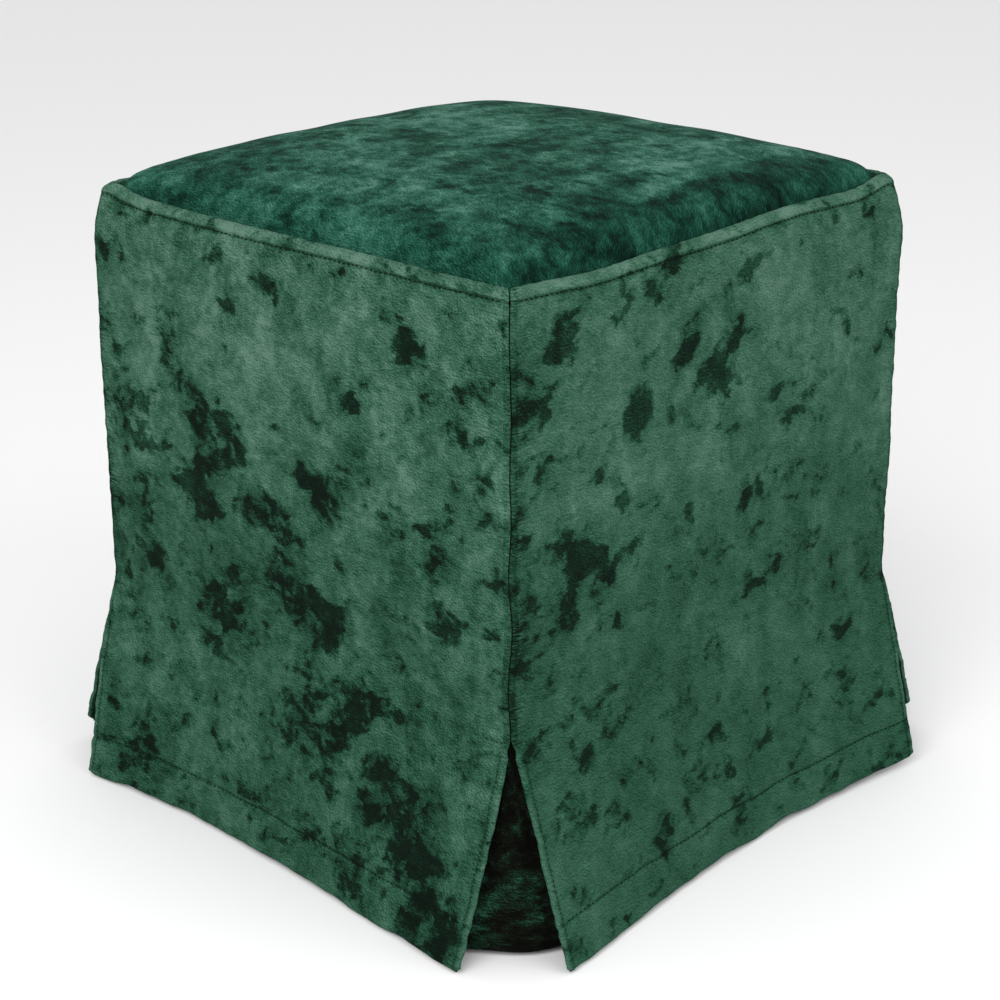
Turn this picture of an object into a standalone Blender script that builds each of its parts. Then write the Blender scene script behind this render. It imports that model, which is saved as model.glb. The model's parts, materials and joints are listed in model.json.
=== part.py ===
"""Cube pouf stool: a padded block in a fitted velvet cover with a kick pleat at each corner.

Units are metres, +Z is up, and the origin is on the floor under the middle of the stool.
Every side panel is worked out in the front panel's own place and then turned about Z.
In that place u runs along the panel, out is the distance from the middle of the stool, and z is the height.
A share is a place along a side, from -1 at its left corner to 1 at its right one.
"""

from math import pi, radians

import bpy
import numpy as np

HALF_WIDTH = 0.200  # from the middle of the stool to the outside of a side panel, at the corners
RIDGE_HEIGHT = 0.433  # top of the sewn ridge round the top edge
PLEAT_HEAD = 0.145  # where each corner pleat is tacked shut
HEM_HEIGHT = 0.003  # lowest edge of the cover above the floor
CLOTH = 0.002  # thickness of the velvet with its backing
GAP = 0.0003  # between two pieces that touch

CORNER_RADIUS = 0.005  # of a side panel as it turns into its corner seam
LEAST_RADIUS = 0.0004  # what is left of that on the inner side of the ridge
SEAM_GAP = 0.00035  # from a side panel's edge to the middle of the corner seam
RIDGE_SEAM = 0.0011  # more of the same where the ridge turns in to the top panel
CORNER_DRAW = 0.0075  # how far the corners are drawn in at the top
DRAW_START = 0.392  # height where that begins

SIDE_BULGE = 0.003  # how far the filling pushes out the middle of a side
BULGE_FLAT = 2.5  # higher is flatter between the corners
BULGE_FOOT = 0.45  # share of the bulge that is left at the head of the pleats
BULGE_SHOULDER = 0.9  # extra share just under the ridge, against the drawn-in corners

RIDGE_TALL = 0.0072  # from the topstitch groove up to the top of the ridge
RIDGE_DEEP = 0.0074  # from the outside of the ridge in to the top panel
RIDGE_PROUD = 0.0008  # how far the ridge stands out past the side
GROOVE_DEEP = 0.0012  # how far the topstitching pulls the cloth in

TOP_SUNK = 0.0050  # top panel's edge below the top of the ridge
TOP_ROLL = 0.0040  # how far it rolls up above the ridge right beside it, except at the corners
TOP_CROWN = 0.0270  # rise of the top panel from there to its middle
CROWN_FLAT = 3.74  # higher is flatter across the middle
CROWN_FULL = 0.60  # lower is steeper at the edge
CROWN_WIDE = 0.96  # less leaves the crown higher where the edge rolls down from it
ROLL_QUICK = 36  # higher makes that roll tighter

PLEAT_INSET = 0.0025  # pleat edge at the hem, in from the corner
PLEAT_OPENS = 0.010  # length below its head over which a pleat comes free of the corner seam
PLEAT_EDGE = 0.0035  # width of the freed edge, which was the turn into the seam
FLARE_HEAD = 0.030  # how much higher than the pleats the skirt starts to stand out in mid-side
FLARE_EDGE = 6  # higher keeps the flare of the pleat edges nearer to the corners

UNDERLAY_HEAD = 0.152  # top edge of an underlay, sewn in behind the head of the pleat
UNDERLAY_HEM = 0.0042  # height of its lower edge
UNDERLAY_TUCK = 0.0065  # where its bend starts at the head, in from the corner
UNDERLAY_OPEN = 0.057  # how much further in that is at the hem
UNDERLAY_REACH = 0.075  # length behind each panel at the head
UNDERLAY_TAKEN = 0.034  # how much of that length the wider bend takes up at the hem
UNDERLAY_CLEAR = 0.0022  # how far it hangs behind the panels at the hem

BLOCK_STEP = 0.0030  # how far the block is set back behind the pleats
BLOCK_CORNER = 0.022  # corner radius at its base
BLOCK_WAIST = 0.013  # corner radius behind the heads of the pleats
BLOCK_FOOT = 0.008  # rounding under its lower edge
BLOCK_LEVELS = (0.164, 0.220, 0.300, 0.360, 0.392, 0.410)  # heights of rings close behind the panels
BLOCK_SHOULDER = ((0.0145, 0.0045), (0.0115, 0.0090))  # last rings: below the top of the ridge, and set back
BLOCK_CROWN = (0.955, 0.90, 0.80, 0.62, 0.40, 0.16)  # sizes of the rings under the top panel, as shares
CROWN_CLEAR = 0.0020  # from the block's crown to the underside of the top panel
CROWN_EDGE_CLEAR = 0.0060  # more of it beside the ridge, where the panel is steep

# How each skirt hangs, at its left and right corner: how far it stands out, how soon (less is sooner), and how far
# its hem lifts. Between the corners it stands out least at a share along the side.
SKIRTS = (
    dict(
        face="front", turn=0, least=0.0265, at=-0.42,
        out=(0.0375, 0.0460), soon=(0.75, 1.15), lift=(-0.001, -0.001),
    ),
    dict(
        face="right", turn=90, least=0.0230, at=0.20,
        out=(0.0480, 0.0385), soon=(0.92, 0.88), lift=(-0.001, 0.0045),
    ),
    dict(
        face="back", turn=180, least=0.0270, at=-0.10,
        out=(0.0530, 0.0450), soon=(0.85, 1.00), lift=(0.013, 0.002),
    ),
    dict(
        face="left", turn=270, least=0.0260, at=0.15,
        out=(0.0450, 0.0520), soon=(1.00, 0.90), lift=(0.002, 0.010),
    ),
)

# Places where the ridge rises or dips, with the share at which each is and how far it reaches.
RIDGE_WAVES = (
    dict(face="front", at=-0.90, reach=0.25, rise=0.0012),
    dict(face="front", at=0.35, reach=0.30, rise=0.0007),
    dict(face="right", at=-0.60, reach=0.22, rise=-0.0026),
    dict(face="right", at=0.42, reach=0.38, rise=0.0044),
    dict(face="back", at=-0.80, reach=0.24, rise=0.0060),
    dict(face="back", at=0.30, reach=0.30, rise=-0.0012),
    dict(face="left", at=-0.25, reach=0.30, rise=-0.0014),
    dict(face="left", at=0.85, reach=0.20, rise=0.0040),
)

VELVET_SIDE = (0.045, 0.155, 0.092)
VELVET_TOP = (0.016, 0.085, 0.055)
VELVET_DARK = (0.008, 0.040, 0.025)
BLOCK_CLOTH = (0.060, 0.060, 0.058)


def ease(x):
    """Runs from 0 to 1 with level ends as x does."""
    x = np.clip(x, 0.0, 1.0)
    return x * x * (3.0 - 2.0 * x)


def spaced(count):
    """Shares from corner to corner, closer together near the corners."""
    return np.sin(np.linspace(-pi / 2, pi / 2, count))


def corner_half(z):
    """Half width at the corners: straight up the sides, drawn in at the top."""
    return HALF_WIDTH - CORNER_DRAW * np.clip((z - DRAW_START) / (RIDGE_HEIGHT - DRAW_START), 0.0, 1.0) ** 2


def bulge(share, z):
    """What the filling adds between the corners, most in the middle of a side and just under the ridge."""
    tall = np.clip((z - PLEAT_HEAD) / (RIDGE_HEIGHT - PLEAT_HEAD), 0.0, 1.0)
    up = BULGE_FOOT + (1.0 - BULGE_FOOT) * np.sin(pi * tall) + BULGE_SHOULDER * ease((tall - 0.85) / 0.15)
    return SIDE_BULGE * up * (1.0 - np.abs(share) ** BULGE_FLAT)


def ridge_wave(face, share):
    """Height that the ridge gains or loses along a face, and none at its corners."""
    rows = [row for row in RIDGE_WAVES if row["face"] == face]
    waves = sum(row["rise"] * np.exp(-(((share - row["at"]) / row["reach"]) ** 2)) for row in rows)
    return waves * (1.0 - np.abs(share) ** 8)


def flare(skirt, share, z):
    """How far a skirt stands out: a curved hem line, opening with the depth below the head of the pleat."""
    to_left = np.clip((skirt["at"] - share) / (1.0 + skirt["at"]), 0.0, None) ** 1.4
    to_right = np.clip((share - skirt["at"]) / (1.0 - skirt["at"]), 0.0, None) ** 1.4
    left, right = (corner - skirt["least"] for corner in skirt["out"])
    hem = skirt["least"] + left * to_left + right * to_right
    edge = np.abs(share) ** FLARE_EDGE
    soon = np.where(share < 0.0, *skirt["soon"])
    head = PLEAT_HEAD + FLARE_HEAD * (1.0 - edge)
    down = np.clip((head - z) / (head - HEM_HEIGHT), 0.0, 1.0)
    return hem * (edge * down**soon + (1.0 - edge) * down**1.5)


def hem_lift(skirt, share):
    """Height of the hem above its own level, more towards a corner that lifts."""
    left, right = skirt["lift"]
    return left * np.clip(-share, 0.0, 1.0) ** 2 + right * np.clip(share, 0.0, 1.0) ** 2


def panel_out(skirt, u, z):
    """Outside of a side panel at a place along it, for the pieces that lie behind."""
    share = np.clip(u / corner_half(z), -1.0, 1.0)
    return corner_half(z) + bulge(share, z) + flare(skirt, share, z)


def side_rows():
    """A side panel's profile from hem to ridge: height, set-back, and how much of the ridge's wave it takes."""
    groove = RIDGE_HEIGHT - RIDGE_TALL
    roll = RIDGE_DEEP / 2
    rows = [(z, 0.0, 0.0) for z in np.linspace(HEM_HEIGHT, PLEAT_HEAD - PLEAT_OPENS, 7)]
    rows += [(z, 0.0, 0.0) for z in (PLEAT_HEAD - PLEAT_OPENS / 2, PLEAT_HEAD, 0.160, 0.190, 0.250, 0.330)]
    rows += [(DRAW_START, 0.0, 0.4), (0.410, 0.0, 0.8), (groove - 0.004, 0.0, 1.0), (groove, GROOVE_DEEP, 1.0)]
    for angle in np.radians((0, 35, 65, 90, 120, 155, 180)):
        back = roll * (1.0 - np.cos(angle)) - RIDGE_PROUD * np.cos(angle) ** 2
        rows.append((RIDGE_HEIGHT - roll * (1.0 - np.sin(angle)), back, 1.0))
    rows.append((RIDGE_HEIGHT - TOP_SUNK - CLOTH, RIDGE_DEEP, 1.0))
    return np.array(rows).T


def side_columns():
    """Where a side panel's columns stand: the share, and the angle turned into the corner seam."""
    flat = spaced(11)
    turned = np.radians((15, 30, 45))
    share = np.concatenate([-np.ones(3), flat, np.ones(3)])
    angle = np.concatenate([-turned[::-1], np.zeros(len(flat)), turned])
    return share, angle


def side_grid(skirt):
    """Outer surface of a side panel as grids of u, out and z, row by row from the hem up."""
    height, back, wave = (row[:, None] for row in side_rows())
    share, angle = (column[None, :] for column in side_columns())
    drop = PLEAT_HEAD - height
    freed = np.clip(drop / PLEAT_OPENS, 0.0, 1.0)
    inset = PLEAT_INSET * (ease(drop / PLEAT_OPENS) + ease(drop / PLEAT_HEAD)) / 2
    half = corner_half(height) - inset
    radius = np.clip(CORNER_RADIUS - back, LEAST_RADIUS, None)
    seam = SEAM_GAP + RIDGE_SEAM * np.clip(back / RIDGE_DEEP, 0.0, 1.0)
    flat = half - back - radius - seam * np.sqrt(2.0) * (1.0 - freed)
    turned = angle * (1.0 - freed)
    u = share * flat + radius * np.sin(turned) + PLEAT_EDGE * freed * angle / radians(45)
    place = np.clip(u / half, -1.0, 1.0)
    out = corner_half(height) - back - radius * (1.0 - np.cos(turned)) + bulge(place, height)
    lift = hem_lift(skirt, place) * ease(drop / PLEAT_HEAD)
    z = height + lift + wave * ridge_wave(skirt["face"], place)
    return u, out + flare(skirt, place, height), z


def velvet(name, colour, roughness, sheen):
    material = bpy.data.materials.new(name)
    material.use_nodes = True
    shader = material.node_tree.nodes["Principled BSDF"]
    shader.inputs["Base Color"].default_value = (*colour, 1.0)
    shader.inputs["Roughness"].default_value = roughness
    shader.inputs["Metallic"].default_value = 0.0
    shader.inputs["Sheen Weight"].default_value = sheen
    material.diffuse_color = (*colour, 1.0)
    return material


def add_object(name, points, faces, material, turn=0.0):
    """An object from points and faces, turned about Z by whole degrees."""
    mesh = bpy.data.meshes.new(name)
    mesh.from_pydata(points.tolist(), [], faces)
    mesh.materials.append(material)
    mesh.shade_smooth()
    mesh.set_sharp_from_angle(angle=radians(40))
    placed = bpy.data.objects.new(name, mesh)
    placed.rotation_euler.z = radians(turn)
    bpy.context.scene.collection.objects.link(placed)
    return placed


def add_cloth(name, x, y, z, material, turn=0.0):
    """A sheet over grids of x, y and z, given its thickness inwards from the surface that shows."""
    rows, columns = z.shape
    points = np.stack([x, y, z], axis=-1).reshape(-1, 3)
    start = (np.arange(rows - 1)[:, None] * columns + np.arange(columns - 1)).reshape(-1)
    faces = np.stack([start, start + 1, start + columns + 1, start + columns], axis=1)
    solid = add_object(name, points, faces.tolist(), material, turn).modifiers.new("Cloth", "SOLIDIFY")
    solid.thickness = CLOTH
    solid.offset = -1.0


def add_side_panel(skirt, material):
    u, out, z = side_grid(skirt)
    add_cloth("side_panel_" + skirt["face"], u, -out, z, material, skirt["turn"])


def top_edge(share):
    """Half width of the top panel, a gap inside the ridge."""
    level = RIDGE_HEIGHT - TOP_SUNK
    return corner_half(level) - RIDGE_DEEP - GAP + bulge(share, level)


def top_point(across, along):
    """The top panel's surface: it rolls up beside the ridge, then crowns, and its edge is in the ridge's waves."""
    rolled = (1.0 - np.abs(across) ** ROLL_QUICK) * (1.0 - np.abs(along) ** ROLL_QUICK)
    full = (1.0 - np.abs(CROWN_WIDE * across) ** CROWN_FLAT) * (1.0 - np.abs(CROWN_WIDE * along) ** CROWN_FLAT)
    crown = TOP_SUNK + TOP_ROLL * (1.0 - (across * along) ** 4) + TOP_CROWN * full**CROWN_FULL
    z = RIDGE_HEIGHT - TOP_SUNK + crown * rolled
    sides = {"front": (across, -along), "right": (along, across), "back": (-across, along), "left": (-along, -across)}
    for face, (share, near) in sides.items():
        z = z + ridge_wave(face, share) * np.clip(near, 0.0, 1.0) ** 8
    return across * top_edge(along), along * top_edge(across), z


def add_top_panel(material):
    across, along = np.meshgrid(spaced(19), spaced(19))
    add_cloth("top_panel", *top_point(across, along), material)


def underlay_grid(left, right):
    """A strip behind one pleat, in its left-hand panel's place: behind it, round the bend, behind the other."""
    level = np.linspace(1.0, 0.0, 7)[:, None]
    z = UNDERLAY_HEAD + (UNDERLAY_HEM - UNDERLAY_HEAD) * level
    start = HALF_WIDTH - UNDERLAY_TUCK - UNDERLAY_OPEN * level
    leg = np.array((1.0, 0.66, 0.33)) * (UNDERLAY_REACH - UNDERLAY_TAKEN * level)
    turn = np.linspace(0.0, pi / 2, 9)
    behind = CLOTH + 2.0 * GAP + UNDERLAY_CLEAR * np.sqrt(level)
    along_left = panel_out(left, start - leg, z) - behind
    along_right = panel_out(right, leg - start, z) - behind
    bend_x = start + (panel_out(right, -start, z) - behind - start) * np.sin(turn)
    bend_out = start + (panel_out(left, start, z) - behind - start) * np.cos(turn)
    x = np.concatenate([start - leg, bend_x, along_right[:, ::-1]], axis=1)
    out = np.concatenate([along_left, bend_out, (start - leg)[:, ::-1]], axis=1)
    return x, -out, np.broadcast_to(z, x.shape)


def add_underlay(left, right, material):
    name = "pleat_underlay_" + left["face"] + "_" + right["face"]
    add_cloth(name, *underlay_grid(left, right), material, left["turn"])


def all_round(face_ring):
    """One ring of points from each face's own u, out and z, without the last, which is the next face's first."""
    quarters = []
    for number, skirt in enumerate(SKIRTS):
        u, out, z = (np.asarray(part)[:-1] for part in face_ring(skirt["face"]))
        turned = (u - 1j * out) * 1j**number
        quarters.append(np.stack([turned.real, turned.imag, z], axis=-1))
    return np.concatenate(quarters)


def side_ring(height, back, corner):
    """A level ring of the block, set back from the outside of the panels, with rounded corners."""
    share = spaced(13)
    half = corner_half(height) - back
    flat = half - corner

    def face_ring(face):
        past = np.clip(np.abs(share) * half - flat, 0.0, None)
        reach = corner / np.hypot(past, corner)
        u = np.sign(share) * (np.clip(np.abs(share) * half, None, flat) + past * reach)
        wave = ridge_wave(face, share) * ease((height - DRAW_START) / (RIDGE_HEIGHT - DRAW_START))
        return u, flat + corner * reach + bulge(share, height), height + wave

    return all_round(face_ring)


def crown_ring(size):
    """A ring of the block's crown, just under the top panel."""
    turns = {"front": 1, "right": 1j, "back": -1, "left": -1j}

    def face_ring(face):
        square = size * (spaced(13) - 1j) * turns[face]
        x, y, z = top_point(square.real, square.imag)
        place = (x + 1j * y) / turns[face]
        return place.real, -place.imag, z - CLOTH - CROWN_CLEAR - CROWN_EDGE_CLEAR * size**24

    return all_round(face_ring)


def add_block(material):
    """The filled block: level rings up its sides and rings over its crown, flat underneath."""
    behind = CLOTH + GAP
    low = behind + BLOCK_STEP
    rings = [
        side_ring(BLOCK_FOOT * (1.0 - np.cos(angle)), low + BLOCK_FOOT * (1.0 - np.sin(angle)), BLOCK_CORNER)
        for angle in np.linspace(0.0, pi / 2, 4)
    ]
    rings.append(side_ring(PLEAT_HEAD - PLEAT_OPENS, low, BLOCK_CORNER))
    rings.append(side_ring(UNDERLAY_HEAD + CLOTH, low, BLOCK_WAIST))
    rings += [side_ring(height, behind, CORNER_RADIUS) for height in BLOCK_LEVELS]
    rings += [side_ring(RIDGE_HEIGHT - drop, back, CORNER_RADIUS) for drop, back in BLOCK_SHOULDER]
    rings += [crown_ring(size) for size in BLOCK_CROWN]
    here = np.arange(len(rings[0]))
    after = np.roll(here, -1)
    wall = np.stack([here, after, after + len(here), here + len(here)], axis=1)
    walls = [wall + row * len(here) for row in range(len(rings) - 1)]
    base = here[::-1].tolist()
    crown = (here + (len(rings) - 1) * len(here)).tolist()
    add_object("padded_block", np.concatenate(rings), np.concatenate(walls).tolist() + [base, crown], material)


def main():
    for old in list(bpy.data.objects):
        bpy.data.objects.remove(old, do_unlink=True)
    side = velvet("velvet_side", VELVET_SIDE, 0.75, 0.4)
    dark = velvet("velvet_underlay", VELVET_DARK, 0.85, 0.2)
    for skirt in SKIRTS:
        add_side_panel(skirt, side)
    for left, right in zip(SKIRTS, SKIRTS[1:] + SKIRTS[:1]):
        add_underlay(left, right, dark)
    add_top_panel(velvet("velvet_top", VELVET_TOP, 0.75, 0.4))
    add_block(velvet("block_cloth", BLOCK_CLOTH, 0.9, 0.0))


main()
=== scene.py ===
# Looks of the cube pouf stool: a crushed velvet cover, stitched at every seam, over its padded block.
# Lengths are metres. Each side panel is worked out in the front panel's place and then turned about Z. u
# runs along the panel, out is the distance from the stool's middle, and a share is a place along a side,
# from -1 at its left corner to 1 at its right one.
import json
from math import cos, pi, radians, sin

import bpy
import numpy as np
from mathutils import Matrix, Vector

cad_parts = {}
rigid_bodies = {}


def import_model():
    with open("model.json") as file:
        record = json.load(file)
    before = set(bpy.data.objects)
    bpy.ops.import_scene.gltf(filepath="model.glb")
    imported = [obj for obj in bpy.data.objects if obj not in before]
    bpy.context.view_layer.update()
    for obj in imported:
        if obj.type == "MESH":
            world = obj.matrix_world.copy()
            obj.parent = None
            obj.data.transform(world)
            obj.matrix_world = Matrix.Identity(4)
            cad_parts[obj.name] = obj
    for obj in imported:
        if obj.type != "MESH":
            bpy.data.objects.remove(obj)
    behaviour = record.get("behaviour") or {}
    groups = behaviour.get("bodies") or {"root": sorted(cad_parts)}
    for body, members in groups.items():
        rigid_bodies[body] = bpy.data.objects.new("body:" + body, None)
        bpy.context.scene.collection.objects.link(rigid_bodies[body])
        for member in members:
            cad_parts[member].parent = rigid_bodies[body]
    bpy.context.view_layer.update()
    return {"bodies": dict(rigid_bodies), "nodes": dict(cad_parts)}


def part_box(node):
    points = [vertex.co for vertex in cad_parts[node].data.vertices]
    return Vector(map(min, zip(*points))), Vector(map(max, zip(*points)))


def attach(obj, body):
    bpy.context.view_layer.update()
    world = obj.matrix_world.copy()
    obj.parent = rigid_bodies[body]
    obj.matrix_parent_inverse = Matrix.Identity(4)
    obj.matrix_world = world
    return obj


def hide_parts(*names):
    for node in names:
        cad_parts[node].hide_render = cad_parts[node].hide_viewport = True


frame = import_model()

body = next(iter(frame["bodies"]))
print("frame loaded:", sorted(frame["nodes"]))

topPanel = {
    "sunk": 0.0050,  # its edge below the top of the ridge
    "roll": 0.0040,  # how far it rolls up right beside the ridge
    "crown": 0.0270,  # rise from there to the middle
    "flat": 3.74,  # higher is flatter across the middle
    "full": 0.60,  # lower is steeper at the edge
    "wide": 0.96,  # lower lifts the crown nearer to its edge
    "half": 0.19,  # half of its width between the ridges
    "quick": 36,  # higher makes the roll tighter
    "fine": 0.0011,  # grid step beside the seam
    "coarse": 0.0030,  # and in the middle
    "undulation": 0.0003,
    "gathers": 0.00030,  # puckers along its seam, their spacing and how far in they reach
    "gatherSize": 0.013,
    "gatherReach": 0.012,
}

cover = {
    "cloth": 0.0016,  # velvet with its backing
    "halfWidth": (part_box("padded_block")[1].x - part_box("padded_block")[0].x) / 2 - 0.0007,
    "ridgeHeight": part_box("top_panel")[1].z - topPanel["roll"] - topPanel["crown"],
    "midway": 0.2,  # parts the ridge's end of a profile from the hem's
    "cornerRadius": 0.005,
    "leastRadius": 0.0004,
    "seamGap": 0.00035,
    "ridgeSeam": 0.0011,  # and how much more it opens behind the ridge
    "seamWander": 0.0007,  # how far a corner seam strays from straight
    "cornerDraw": 0.0075,  # how far the corners draw in at the top, and where that starts
    "drawStart": 0.392,
    "cornerReach": 0.12,  # share of a side over which a ridge rises to its corner
    "cornerFill": 0.0011,  # fills the groove of the topstitching at the corners
    "fillReach": 0.008,
    "bulge": 0.003,
    "bulgeFoot": 0.45,  # share of the bulge that is left at the pleats
    "bulgeShoulder": 0.9,
    "ridgeTall": 0.0072,
    "ridgeDeep": 0.0074,
    "ridgeProud": 0.0008,
    "grooveDeep": 0.0013,  # the topstitching's groove
    "grooveWide": 0.0014,
    "waveStart": 0.33,  # above this a panel goes along with the ridge's waves
    "pleatHead": 0.145,
    "pleatInset": 0.0025,
    "pleatOpens": 0.010,
    "pleatEdge": 0.0017,
    "edgeRoll": 0.0020,  # radius of the rolled pleat edge
    "edgeTurn": 150,  # degrees that it rolls in
    "edgeStitch": 0.0025,  # from the edge of a pleat in to its stitches
    "ragged": ((0.0004, 0.034), (0.0002, 0.011)),  # heights and sizes of the ripples in a pleat's edge
    "flareHead": 0.030,
    "flareEdge": 6,
    "hem": 0.0022,  # height of its lower edge
    "hemTurn": 0.0285,  # height of the turned hem
    "hemRoll": 0.0021,
    "hemWavy": ((0.0004, 0.075), (0.0002, 0.014)),  # heights and sizes of the ripples in the hem
    "tipRound": 0.0024,  # rounding of each pleat's lower corner
    "tipWide": 0.0045,
    "tipTall": 0.016,
    "fine": 0.0010,  # grid step at the seams
    "coarse": 0.0029,  # and on the open velvet
}

# Each side's turn about Z in degrees, how far its hem stands out where it is least, the share where that
# is, how far at both corners, how soon it flares towards each, and how far the hem lifts there.
skirts = [
    dict(zip(("face", "turn", "least", "at", "out", "soon", "lift"), row))
    for row in (
        ("front", 0, 0.0265, -0.42, (0.0375, 0.0460), (0.75, 1.15), (-0.001, -0.001)),
        ("right", 90, 0.0230, 0.20, (0.0480, 0.0385), (0.92, 0.88), (-0.001, 0.0045)),
        ("back", 180, 0.0270, -0.10, (0.0530, 0.0450), (0.85, 1.00), (0.013, 0.002)),
        ("left", 270, 0.0260, 0.15, (0.0450, 0.0520), (1.00, 0.90), (0.002, 0.010)),
    )
]

faceNames = [skirt["face"] for skirt in skirts]
cornerRises = (0.0, 0.0052, 0.0015, 0.0036)  # how much higher the ridge is at each face's right end
ridgeWaves = {  # the share where each rise or dip is, its reach and its height
    "front": ((-0.95, 0.12, 0.0030), (-0.90, 0.25, 0.0004), (0.35, 0.30, 0.0007)),
    "right": ((-0.60, 0.22, -0.0026), (0.42, 0.38, 0.0044), (0.95, 0.13, 0.0034)),
    "back": ((-0.80, 0.24, 0.0060), (0.30, 0.30, -0.0012)),
    "left": ((-0.25, 0.30, -0.0014), (0.85, 0.20, 0.0040)),
}

# How unevenly the sewn velvet lies: the height of each kind of pucker, its spacing, and how far it reaches.
# Stitches pull the cloth in by sunk, over a width.
puckers = {
    "side": dict(high=0.0008, size=0.110),
    "dent": dict(high=0.00035, size=0.030),
    "topstitch": dict(high=0.00042, size=0.0085, reach=0.0060),
    "ridge": dict(high=0.00018, size=0.0052),
    "corner": dict(high=0.00034, size=0.0105, reach=0.0070),
    "hem": dict(high=0.00022, size=0.012, reach=0.006, sunk=0.00065, wide=0.0013, thicker=0.0005),
    "edge": dict(high=0.00042, size=0.0062, reach=0.0040, sunk=0.0007, wide=0.0011),
    "tack": dict(sunk=0.0006, wide=0.0013, long=0.019, fade=0.006),
}


# Shapes

def ease(x):  # runs from 0 to 1 with level ends as x does
    x = np.clip(x, 0.0, 1.0)
    return x * x * (3.0 - 2.0 * x)


def hump(x, at, wide):  # a bell of height 1
    return np.exp(-(((x - at) / wide) ** 2))


def ripples(x, y, size, seed, waves=9):  # an even mix of sine waves, seeded, with lengths near size
    dice = np.random.default_rng(seed)
    draws = [dice.uniform(low, high, waves) for low, high in ((0, pi), (0.65, 1.6), (0, 2 * pi))]
    total = 0.0
    for heading, stretch, start in zip(*draws):
        total = total + np.sin(2 * pi * (x * cos(heading) + y * sin(heading)) / (size * stretch) + start)
    return total / np.sqrt(waves)


def wobble(x, y, kinds, seed):  # ripples of several heights and sizes, added up
    return sum(high * ripples(x, y, size, seed + number, 5) for number, (high, size) in enumerate(kinds))


def graded(start, end, fine, coarse, places, reach):
    # Steps from start to end that are fine near each place and coarse a reach away from all of them.
    x = np.linspace(start, end, 4000)
    away = np.min([np.abs(x - place) for place in places], axis=0)
    total = np.cumsum(1.0 / (fine + (coarse - fine) * ease(away / reach)))
    total = (total - total[0]) * (x[1] - x[0])
    return np.interp(np.linspace(0.0, total[-1], int(total[-1]) + 2), total, x)


def cornerHalf(z):  # half width at the corners, drawn in at the top
    drawn = np.clip((z - cover["drawStart"]) / (cover["ridgeHeight"] - cover["drawStart"]), 0.0, 1.0)
    return cover["halfWidth"] - cover["cornerDraw"] * drawn**2


def bulge(share, z):  # what the filling adds: a sine up the side, a shoulder under the ridge, none at corners
    tall = np.clip((z - cover["pleatHead"]) / (cover["ridgeHeight"] - cover["pleatHead"]), 0.0, 1.0)
    foot = cover["bulgeFoot"]
    up = foot + (1.0 - foot) * np.sin(pi * tall) + cover["bulgeShoulder"] * ease((tall - 0.85) / 0.15)
    return cover["bulge"] * up * (1.0 - np.abs(share) ** 2.5)


def ridgeWave(face, share):  # bell-shaped rises and dips along one side's ridge, level at its corners
    waves = sum(rise * hump(share, at, reach) for at, reach, rise in ridgeWaves[face])
    return waves * (1.0 - np.abs(share) ** 24)


def cornerWave(face, share):  # bell-shaped rises to both of its corners
    right = faceNames.index(face)
    rises = ((1.0, cornerRises[right]), (-1.0, cornerRises[right - 1]))
    return sum(rise * hump(share, at, cover["cornerReach"]) for at, rise in rises)


def flare(skirt, share, z):
    # A curved hem line, least at one share and more towards both corners, that opens as a power of the
    # depth.
    toLeft = np.clip((skirt["at"] - share) / (1.0 + skirt["at"]), 0.0, None) ** 1.4
    toRight = np.clip((share - skirt["at"]) / (1.0 - skirt["at"]), 0.0, None) ** 1.4
    left, right = (corner - skirt["least"] for corner in skirt["out"])
    hem = skirt["least"] + left * toLeft + right * toRight
    edge = np.abs(share) ** cover["flareEdge"]
    head = cover["pleatHead"] + cover["flareHead"] * (1.0 - edge)
    down = np.clip((head - z) / (head - cover["hem"]), 0.0, 1.0)
    return hem * (edge * down ** np.where(share < 0.0, *skirt["soon"]) + (1.0 - edge) * down**1.5)


def hemLift(skirt, share):
    left, right = skirt["lift"]
    return left * np.clip(-share, 0.0, 1.0) ** 2 + right * np.clip(share, 0.0, 1.0) ** 2


def grooveHeight():
    return cover["ridgeHeight"] - cover["ridgeTall"]


def hemHeight():
    return cover["hem"] + cover["hemTurn"]


def sideRow(height):
    # The flat part of a panel's profile: set back in a narrow bell at the topstitching, then out on the
    # ridge.
    groove, above = grooveHeight(), cover["ridgeTall"] - cover["ridgeDeep"] / 2
    back = cover["grooveDeep"] * hump(height, groove, cover["grooveWide"])
    back = back - cover["ridgeProud"] * ease((height - groove) / above)
    wave = np.clip((height - cover["waveStart"]) / (groove - cover["waveStart"]), 0.0, 1.0) ** 2
    return height, back, wave, np.zeros_like(height)


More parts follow.
